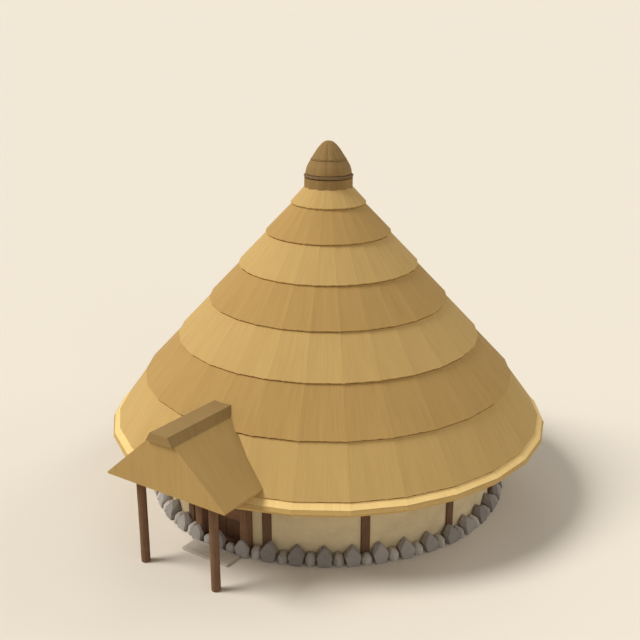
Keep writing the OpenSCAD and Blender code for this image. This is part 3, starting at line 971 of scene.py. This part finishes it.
@dataclass
class Timber:
    """A straight timber whose section is a superellipse: square with worn arrises, or round."""

    start: Point
    end: Point
    width: float
    depth: float
    side: Point = (1.0, 0.0, 0.0)
    squareness: float = 9.0
    adze: float = 0.004
    chamfer: float = 0.006
    seed: int = 1
    cols: int = 28
    station: float = 0.09
    stroke: float = 0.2

    def skin(self) -> Skin:
        """Carries the section from one end to the other.

        At angle b the section reaches out by the superellipse |cos|^n + |sin|^n = 1, and each
        end is drawn in by the chamfer. The adze's strokes press shallow hollows in the faces.

        Returns:
            The closed surface.
        """
        a, b = np.array(self.start), np.array(self.end)
        length = float(np.linalg.norm(b - a))
        axis = (b - a) / length
        third = np.cross(axis, self.side)
        stations = max(3, round(length / self.station))
        inner = np.linspace(self.chamfer, length - self.chamfer, stations)
        along = np.concatenate([[0], inner, [length]])[:, None]
        n, turn = self.squareness, (np.arange(self.cols)[None, :] + 0.5) * TURN / self.cols
        reach = (np.abs(np.cos(turn)) ** n + np.abs(np.sin(turn)) ** n) ** (-1 / n)
        ends = np.where((along == 0) | (along == length), self.chamfer, 0.0)
        x = reach * np.cos(turn) * (self.width / 2 - ends)
        y = reach * np.sin(turn) * (self.depth / 2 - ends)
        points = a + along[..., None] * axis + x[..., None] * self.side + y[..., None] * third
        strokes = noise(turn / TURN * 8, along / self.stroke, (8, 64), self.seed)
        body = Skin(points, fibre_along_rows=True, offset=0.71 * self.seed)
        return body.pressed(self.adze * strokes * (ends == 0))


def upright(x: float, y: float, z: tuple[float, float], width: float, depth: float,
            **more: float | Point) -> Skin:
    """A standing timber centred on x and y, from one height to another."""
    return Timber((x, y, z[0]), (x, y, z[1]), width, depth, **more).skin()


@dataclass
class Wall:
    """Twelve oak posts with bays of daub between them, split at the doorway."""

    radius: float = 3.9
    thick: float = 0.15
    height: float = 2.3514
    posts: int = 12
    post_w: float = 0.2
    post_out: float = 3.95
    post_in: float = 3.73
    frame_x: float = 0.69
    over_door: float = 1.98
    cell: float = 0.055
    trowel: tuple[float, float] = (0.5, 0.15)
    trowel_mix: tuple[float, float] = (0.6, 0.4)
    hollow: float = 0.007

    def build(self) -> None:
        """Builds the posts, then the daub by its named bays."""
        mid, deep = (self.post_out + self.post_in) / 2, self.post_out - self.post_in
        step = TURN / self.posts
        skins = []
        for k in range(self.posts):
            across, out = math.sin((k + 0.5) * step), math.cos((k + 0.5) * step)
            skins.append(upright(mid * across, -mid * out, (0, self.height), self.post_w, deep,
                                 seed=20 + k, side=(out, across, 0)))
        piece("hewn_wall_posts", skins, OAK_POST, ["wall_posts"])
        half = self.post_w / 2 + SEAT
        for node, bays in {"daub_right": range(1, 4), "daub_back": range(4, 9),
                           "daub_left": range(9, 12)}.items():
            skins = [self.panel(((k - 0.5) * step, half), ((k + 0.5) * step, -half), 0, 40 + k)
                     for k in bays]
            piece(f"{node}_panels", skins, DAUB, [node])
        left, right = (0, -self.frame_x), (0, self.frame_x)
        beside = [self.panel((-step / 2, half), left, 0, 61),
                  self.panel(right, (step / 2, -half), 0, 62)]
        piece("daub_beside_door", beside, DAUB, ["daub_door_sides"])
        over = self.panel(left, right, self.over_door, 63)
        piece("daub_above_door", [over], DAUB, ["daub_over_door"])

    def panel(self, start: tuple[float, float], end: tuple[float, float], z0: float,
              seed: int) -> Skin:
        """One bay: an upright loop through the daub, carried from side to side.

        Each side is a plane that stands x to one side of a radius at angle a, so at radius r
        the bay starts at the angle a plus the arcsine of x over r. The trowel's hollows are
        noise of two widths.

        Args:
            start: a and x of the first side.
            end: a and x of the second side.
            z0: height of the bay's foot.
            seed: which noise.

        Returns:
            The closed surface.
        """
        up = max(6, round((self.height - z0) / self.cell))
        z = np.linspace(z0, self.height, up)
        z = np.concatenate([z, z[::-1]])[None, :]
        r = np.repeat([self.radius, self.radius - self.thick], up)[None, :]
        a0, a1 = (a + np.arcsin(x / r) for a, x in (start, end))
        span = float((a1 - a0).max()) * self.radius
        t = np.linspace(0, 1, max(4, round(span / self.cell)))[:, None]
        hollow = sum(part * noise(t * span / wide, z / wide, (64, tall), seed + i)
                     for i, (part, wide, tall) in enumerate(zip(self.trowel_mix, self.trowel,
                                                                (16, 32))))
        inside = (t > 0) & (t < 1) & (z > z0) & (z < self.height)
        skin = Skin(around(a0 + (a1 - a0) * t, r, z), offset=0.53 * seed)
        return skin.pressed(self.hollow * hollow * inside)


@dataclass
class Doorway:
    """The oak frame and the leaf: upright planks behind laid boards, on a round harr."""

    half: float = 0.5
    jamb: float = 0.19
    front: float = 4.05
    deep: float = 0.3
    head_z: float = 1.8
    leaf: tuple[float, float] = (-0.4037, 0.488)
    leaf_z: tuple[float, float] = (0.112, 1.788)
    leaf_y: float = -3.804
    plank_w: float = 0.17514
    plank_t: float = 0.038
    planks: int = 5
    gap: float = 0.004
    board_h: float = 0.294
    board_t: float = 0.032
    board_z: float = 0.6
    boards: int = 4
    peg_r: float = 0.013
    peg_proud: float = 0.004
    pegged: tuple[tuple[int, float], ...] = ((0, 0.28), (0, 0.72), (2, 0.5), (4, 0.28), (4, 0.72))
    wear: float = 0.006

    def build(self) -> None:
        """Builds the jambs, the planks, the boards and their pegs, and wears the rest."""
        cleft = {"squareness": 14.0, "adze": 0.002, "chamfer": 0.003}
        sides = [upright(s * (self.half + self.jamb / 2), self.deep / 2 - self.front,
                         (0, self.head_z), self.jamb, self.deep, seed=5 + s) for s in (-1, 1)]
        piece("hewn_door_jambs", sides, OAK_JAMB, ["door_jambs"])
        worn_copy("hewn_door_lintel", "door_lintel", OAK_ACROSS, self.wear)
        worn_copy("hewn_door_sill", "door_sill", OAK_ACROSS, self.wear)
        worn_copy("turned_door_harr", "door_harr", OAK_UPRIGHT, self.wear / 2, "door")
        planks = [upright(self.plank_x(k), self.leaf_y + self.plank_t / 2, self.leaf_z,
                          self.plank_w, self.plank_t, seed=70 + k, **cleft)
                  for k in range(self.planks)]
        piece("cleft_door_planks", planks, OAK_PLANK, ["door_planks"], "door")
        y = self.leaf_y - self.board_t / 2
        boards = []
        for i in range(self.boards):
            z = self.board_foot(i) + self.board_h / 2
            boards.append(Timber((self.leaf[0], y, z), (self.leaf[1], y, z), self.board_t,
                                 self.board_h, side=(0, 1, 0), seed=80 + i, **cleft).skin())
        # The boards' paler oak is painted light, not the wood's own colour.
        piece("cleft_door_boards", boards, OAK_BOARD_PAINTED_LIGHT, ["door_ledges"], "door")
        piece("door_pegs", self.pegs(), OAK_POST, ["door_ledges"], "door")

    def plank_x(self, k: int) -> float:
        """Offset of plank k's middle line."""
        return self.leaf[0] + self.plank_w / 2 + k * (self.plank_w + self.gap)

    def board_foot(self, i: int) -> float:
        """Height of board i's lower edge."""
        return self.board_z + i * (self.board_h + self.gap)

    def pegs(self) -> list[Skin]:
        """Domed heads of the oak pegs that hold the boards, two at each end plank.

        A head's radius shrinks as the cosine while it stands out as the sine.

        Returns:
            One closed surface for each peg.
        """
        turn = np.arange(10)[:, None] * TURN / 10
        rise = np.array([[0, 0.35, 0.7, 1.0, 1.3, 1.5708]])
        r = np.append(0, self.peg_r * np.cos(rise))
        out = np.append(-0.004, self.peg_proud * np.sin(rise))
        ring = outward(r * np.cos(turn), out, r * np.sin(turn))
        return [Skin(ring + (self.plank_x(k), self.leaf_y - self.board_t,
                             self.board_foot(i) + lift * self.board_h), ring=True)
                for i in range(self.boards) for k, lift in self.pegged]


@dataclass
class Porch:
    """Two round posts, beams and a gabled roof of straw that runs into the main cone.

    The roof's section is a trapezoid: two slopes up to a flat top that the ridge cap covers.
    """

    lines: RoofLines
    half: float = 1.5
    flat: float = 0.213
    eave_z: float = 2.015
    top_z: float = 3.14
    low_z: float = 1.975
    front: float = 5.67
    in_half: float = 1.36343
    in_flat: float = 0.167946
    lip: float = 0.0001
    in_z: float = 3.02
    in_front: float = 5.55
    post_x: float = 0.935
    post_out: float = 5.33
    post_d: float = 0.19
    post_h: float = 1.90571
    ridge_z: float = 3.1404
    ridge_top: float = 0.221
    ridge_foot: float = 0.338
    ridge_rise: float = 0.076
    ridge_out: float = 5.728
    rows: int = 60
    handful: float = 0.13
    ridge_lap: tuple[float, float] = (-0.003, 0.0026)
    ridge_hands: int = 20
    ridge_relief: float = 0.004
    ridge_end: float = 0.994
    relief: float = 0.003
    wear: float = 0.008

    def build(self) -> None:
        """Builds the posts, beams and plates, the straw of the slopes and gable, and the ridge."""
        posts = [upright(s * self.post_x, -self.post_out, (0, self.post_h), self.post_d,
                         self.post_d, squareness=2.0, adze=0.003, chamfer=0.01, seed=90 + s)
                 for s in (-1, 1)]
        piece("round_porch_posts", posts, OAK_PORCH, ["porch_posts"])
        worn_copy("hewn_porch_beams", "porch_beams", OAK_ACROSS, self.wear)
        worn_copy("hewn_porch_plates", "porch_plates", OAK_DEEP, self.wear / 2)
        piece("porch_straw", [self.slopes(), self.gable()], STRAW_PORCH, ["porch_thatch"])
        self.ridge()

    def section(self, corners: list[tuple[float, float]], counts: tuple[int, ...]) -> Array:
        """A line of x and z, mirrored about the middle, with some points on each stretch.

        Args:
            corners: the right half's corners, from the middle out.
            counts: points on each stretch from left to right.

        Returns:
            The points from left to right.
        """
        corners = np.array([(-x, z) for x, z in corners[::-1]] + corners)
        parts = [p + (q - p) * np.linspace(0, 1, n, endpoint=False)[:, None]
                 for p, q, n in zip(corners[:-1], corners[1:], counts)]
        return np.concatenate(parts + [corners[-1:]])

    def drawn(self, loop: Array, front: Array | float) -> Array:
        """Carries a loop of x and z, row by row, from the cone's outside to a front."""
        x, z = loop.T
        back = self.lines.outside(x, z) + SEAT
        return outward(x, back + (front - back) * np.linspace(0, 1, self.rows)[:, None], z)

    def slopes(self) -> Skin:
        """Both slopes and the flat top, from the cone out to the gable.

        The loop runs over the outside from eave to eave and back along the underside. Its back
        stops on the cone's outside, and its front is a mitre against the gable.

        Returns:
            The closed surface.
        """
        counts = (1, 24, 6, 24, 1)
        outer = self.section([(self.flat, self.top_z), (self.half, self.eave_z),
                              (self.half, self.low_z)], counts)
        inner = self.section([(self.in_flat, self.in_z), (self.in_half, self.low_z + self.lip),
                              (self.in_half, self.low_z)], counts)
        front = np.repeat([self.front, self.in_front], len(outer))
        points = self.drawn(np.concatenate([outer, inner[::-1]]), front)
        return self.combed(Skin(points), np.r_[2:24, 33:55], 7)

    def gable(self) -> Skin:
        """The upright gable of straw, in rows from one eave to the other.

        At each row the loop climbs the face to the roof's outline and comes down the back,
        which is drawn in to the underside's outline.

        Returns:
            The closed surface.
        """
        marks = (-1, -self.flat / self.half, self.flat / self.half, 1)
        share = np.concatenate([np.linspace(p, q, n, endpoint=False) for p, q, n
                                in zip(marks[:-1], marks[1:], (40, 12, 40))] + [[1.0]])[:, None]
        t = np.linspace(0, 1, 22)[None, :]
        back = np.interp(share, marks, (-self.in_half, -self.in_flat, self.in_flat, self.in_half))
        x = np.concatenate([self.half * share + 0 * t, back + 0 * t], 1)
        low = self.low_z
        high, deep = (low + (np.interp(share, marks, (eave, top, top, eave)) - low) * t
                      for eave, top in ((self.eave_z, self.top_z), (low + self.lip, self.in_z)))
        z = np.concatenate([high, deep[:, ::-1]], 1)
        out = np.repeat([self.front, self.in_front], t.size)
        return self.combed(Skin(outward(x, out, z)), np.r_[1:21], 5)

    def combed(self, skin: Skin, columns: Array, seed: int) -> Skin:
        """Presses handfuls and stems into some columns of a surface.

        Args:
            skin: the closed surface.
            columns: the columns that lie outside.
            seed: which noise.

        Returns:
            The same surface.
        """
        rows, cols = skin.points.shape[:2]
        width = float(np.linalg.norm(skin.points[-1, 0] - skin.points[0, 0]))
        u = np.linspace(0, width / self.handful, rows)[:, None]
        v = np.arange(cols)[None, :] / 8
        ridge = 1 - np.abs(np.sin(math.pi * (u + 0.6 * noise(u / 3, v, (64, 9), seed))))
        stems = noise(u * 4, v * 2, (256, 9), seed + 1)
        hold = faded(rows, 20) * np.isin(np.arange(cols), columns)
        skin.offset = 0.9 * seed
        return skin.pressed(self.relief * (0.5 * ridge ** 2 + 0.5 * stems) * hold)

    def ridge(self) -> None:
        """The ridge's saddle of old straw, a folded section from the cone out past the gable,
        and the slightly narrower block that fills its front end."""
        slope = (self.top_z - self.eave_z) / (self.half - self.flat)
        foot = (self.ridge_foot, self.ridge_z - (self.ridge_foot - self.flat) * slope)
        lapped, counts = (foot[0] + self.ridge_lap[0], foot[1] + self.ridge_lap[1]), (10, 12, 10)
        outer = self.section([(self.ridge_top, self.ridge_z + self.ridge_rise), foot], counts)
        inner = self.section([(self.flat, self.ridge_z), lapped], counts)
        loop = np.concatenate([outer, inner[::-1]])
        share, x = np.linspace(0, 1, self.rows)[:, None], loop[None, :, 0]
        u = share * self.ridge_hands
        stems = (noise(u * 3, x * 12, (128, 16), 31) + noise(u, x * 4, (64, 16), 32)) / 2
        cols = np.arange(len(loop))
        shown = (cols > 0) & (cols < len(outer) - 1)
        saddle = Skin(self.drawn(loop, self.ridge_out), offset=3.1)
        saddle.pressed(self.ridge_relief * stems * faded(self.rows, 16) * shown)
        base = self.section([foot], (24,))[::-1]
        ends = np.concatenate([outer - (0, 0.002), base + (0, 0.001)]) * (self.ridge_end, 1)
        out = np.linspace(self.front + 0.001, self.ridge_out + 0.0005, 6)[:, None]
        block = Skin(outward(ends[:, 0], out, ends[:, 1]), offset=3.3)
        piece("porch_ridge_saddle", [saddle, block], STRAW_RIDGE, ["porch_ridge_cap"])


@dataclass
class Footing:
    """Two sizes of fieldstone round the wall's foot, and the slab before the door.

    A stone's corners are given as shares of its CAD solid's half width, depth and height, for
    the right half: a face that leans back under a peaked top, or for the small stones an
    arris down the front.
    """

    stones: int = 44
    wear: float = 0.008
    chipped: float = 0.05
    flat: float = 7.0
    arris: float = 9.0
    slab_tone: float = 0.326972
    large: tuple[Point, ...] = (
        (0.64, 0.82, 0), (0.76, 0.4, 0), (0.64, 0, 0), (0.7, 0.87, 0.1), (0.84, 0.45, 0.2),
        (0.92, 0.78, 0.5), (1.0, 0.36, 0.52), (0.84, 0, 0.55), (0.52, 0.62, 0.76),
        (0.56, 0.2, 0.82), (0.05, 0.46, 0.94), (0.1, 0.05, 0.98))
    small: tuple[Point, ...] = (
        (0.8, 0.78, 0), (0.95, 0.4, 0), (0.9, 0, 0), (0.3, 0.9, 0), (1.12, 0.6, 0.22),
        (0.35, 0.94, 0.25), (1.2, 0.36, 0.5), (0.95, 0.66, 0.58), (0.3, 0.84, 0.64),
        (1.0, 0, 0.6), (0.52, 0.5, 0.83), (0.42, 0.1, 0.86))

    def build(self) -> None:
        """Splits the stones out of their corners, and wears the arrises of the slab."""
        self.split("fieldstones_large", "stones_large", STONE, self.large, 0)
        self.split("fieldstones_small", "stones_small", PEBBLE, self.small, 0.5)
        worn_copy("split_threshold_slab", "threshold_slab", SLAB, self.wear, tone=self.slab_tone)

    def split(self, name: str, node: str, finish: Finish, half: tuple[Point, ...],
              shift: float) -> None:
        """Makes one node's stones: the convex hull of each stone's own chipped corners.

        A corner is the stone's middle plus its share of the half width along the wall, its
        inner edge plus its share of the depth, and its share of the height.

        Args:
            name: the piece's name.
            node: the CAD node.
            finish: the finish.
            half: the corners' shares.
            shift: how far the first stone stands from the door's middle, in spacings.
        """
        corners = np.concatenate([[(-a, o, h), (a, o, h)] for a, o, h in half])
        x, y, z = places(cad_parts[node].data).T
        y = y - HOUSE_Y
        spacing = TURN / self.stones
        which = np.round(np.arctan2(x, -y) / spacing - shift).astype(int) % self.stones
        random = np.random.default_rng(self.stones)
        spots, tones = [], []
        for stone in np.unique(which):
            own, turn = which == stone, (stone + shift) * spacing
            along = (x * math.cos(turn) + y * math.sin(turn))[own]
            out = (x * math.sin(turn) - y * math.cos(turn))[own]
            chips = 1 + random.uniform(-self.chipped, self.chipped, corners.shape)
            a, o, h = (corners * chips).T
            a = (along.max() + along.min() + a * (along.max() - along.min())) / 2
            o = out.min() + np.minimum(o, 1) * (out.max() - out.min())
            spots.append(np.stack([a * math.cos(turn) + o * math.sin(turn),
                                   a * math.sin(turn) - o * math.cos(turn) + HOUSE_Y,
                                   np.clip(h, 0, 1) * z[own].max()], -1))
            tones.append(np.full(len(corners), random.random()))
        mesh = bpy.data.meshes.new(name)
        mesh.from_pydata(np.concatenate(spots), [], [])
        mark(mesh, "tone", "FLOAT", np.concatenate(tones))
        with editing(mesh) as form:
            points, spare = form.verts[:], set()
            for start in range(0, len(points), len(corners)):
                hull = bmesh.ops.convex_hull(form, input=points[start:start + len(corners)])
                spare.update(hull["geom_interior"] + hull["geom_unused"])
            bmesh.ops.delete(form, geom=[g for g in spare if isinstance(g, bmesh.types.BMVert)],
                             context="VERTS")
            bmesh.ops.dissolve_limit(form, angle_limit=math.radians(self.flat),
                                     verts=form.verts, edges=form.edges)
            bmesh.ops.recalc_face_normals(form, faces=form.faces)
        worn(dressed(name, mesh, finish, [node], "house", self.arris), self.wear, self.arris)


# ---- Stage ----


@dataclass(frozen=True)
class Sun:
    """A distant lamp: where it stands on the compass from +X, how high, how bright, how soft."""

    name: str
    compass: float
    height: float
    strength: float
    spread: float = 25

    def shine(self) -> None:
        """Adds the lamp, turned so that its light comes from its place in the sky."""
        around_z, up = math.radians(self.compass), math.radians(self.height)
        data = bpy.data.lights.new(self.name, "SUN")
        data.energy, data.angle = self.strength, math.radians(self.spread)
        level = math.cos(up)
        place = Vector((math.cos(around_z) * level, math.sin(around_z) * level, math.sin(up)))
        placed(self.name, data).rotation_euler = place.to_track_quat("Z", "Y").to_euler()


@dataclass
class Stage:
    """Camera, light and the plain pale floor."""

    eye: Point = (11.74, -17.326, 10.89)
    look: Point = (-0.533, 0.787, -0.312)
    lens: float = 54.34
    floor: str = "e6dccb"
    sky: str = "f2e8d5"
    glow: float = 0.39
    floor_r: float = 3000.0
    floor_z: float = -0.001
    far: float = 8000.0
    suns: tuple[Sun, ...] = (
        Sun("key", -140.3, 49.5, 2.56), Sun("low_key", -151.8, 12, 0.2),
        Sun("front_fill", -31.8, 24, 0.25), Sun("side_fill", 33.2, 20, 0.25),
        Sun("back_fill", 63.2, 35, 0.42), Sun("left_fill", 123.2, 35, 0.26))

    def camera(self) -> None:
        """Sets the camera, which comes first of all that the script makes."""
        data = bpy.data.cameras.new("camera")
        data.lens, data.sensor_width, data.clip_end = self.lens, 36.0, self.far
        thing = placed("camera", data)
        thing.location = self.eye
        thing.rotation_euler = Vector(self.look).to_track_quat("-Z", "Y").to_euler()
        bpy.context.scene.camera = thing

    def light(self) -> None:
        """One soft key from the left, weak low fills all round and an even sky, which the
        camera sees as the floor's far tone."""
        scene = bpy.context.scene
        scene.view_settings.view_transform = "Standard"
        for sun in self.suns:
            sun.shine()
        world = bpy.data.worlds.new("sky")
        scene.world = world
        world.use_nodes = True
        tree = world.node_tree
        tree.nodes.clear()
        glow = add(tree, "Background", {"Strength": self.glow})
        seen = add(tree, "Background", {"Color": linear(self.sky)})
        ray = add(tree, "LightPath")
        mix = add(tree, "MixShader", links={0: ray.outputs["Is Camera Ray"],
                                            1: glow.outputs["Background"],
                                            2: seen.outputs["Background"]})
        add(tree, "OutputWorld", links={"Surface": mix.outputs["Shader"]})

    def ground(self) -> None:
        """A wide flat disc of plain pale floor."""
        a = TURN / 4 + np.arange(64) * TURN / 64
        mesh = bpy.data.meshes.new("floor")
        mesh.from_pydata(around(a, self.floor_r, 0 * a).tolist(), [], [list(range(64))])
        pale = bpy.data.materials.new("pale_floor")
        pale.use_nodes = True
        shader = pale.node_tree.nodes["Principled BSDF"]
        shader.inputs["Base Color"].default_value = linear(self.floor)
        shader.inputs["Roughness"].default_value = 1.0
        shader.inputs["Specular IOR Level"].default_value = 0.0
        mesh.materials.append(pale)
        thing = placed("floor", mesh)
        thing.location.z = self.floor_z


KEPT_NODES = {"wall_plate": OAK_ACROSS, "crown_hub": ASH_POLE, "rafters": ASH_POLE,
              "battens": ASH_POLE, "porch_ridge_pole": OAK_DEEP, "porch_rafters": ASH_POLE}


def dress_kept_nodes() -> None:
    """Gives the CAD nodes that stay in sight their finishes."""
    for node, finish in KEPT_NODES.items():
        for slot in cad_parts[node].material_slots:
            slot.material = material(finish)
        log.info("%s keeps its solid, in %s", node, finish.name)


def main() -> None:
    """Builds the stage and every sub-assembly in order."""
    logging.basicConfig(level=logging.INFO, format="%(message)s")
    stage, lines = Stage(), RoofLines()
    stage.camera()
    for part in (MainRoof(lines), StrawCap(lines), Wall(), Doorway(), Porch(lines), Footing()):
        part.build()
    dress_kept_nodes()
    stage.ground()
    stage.light()


if __name__ == "__main__":
    main()
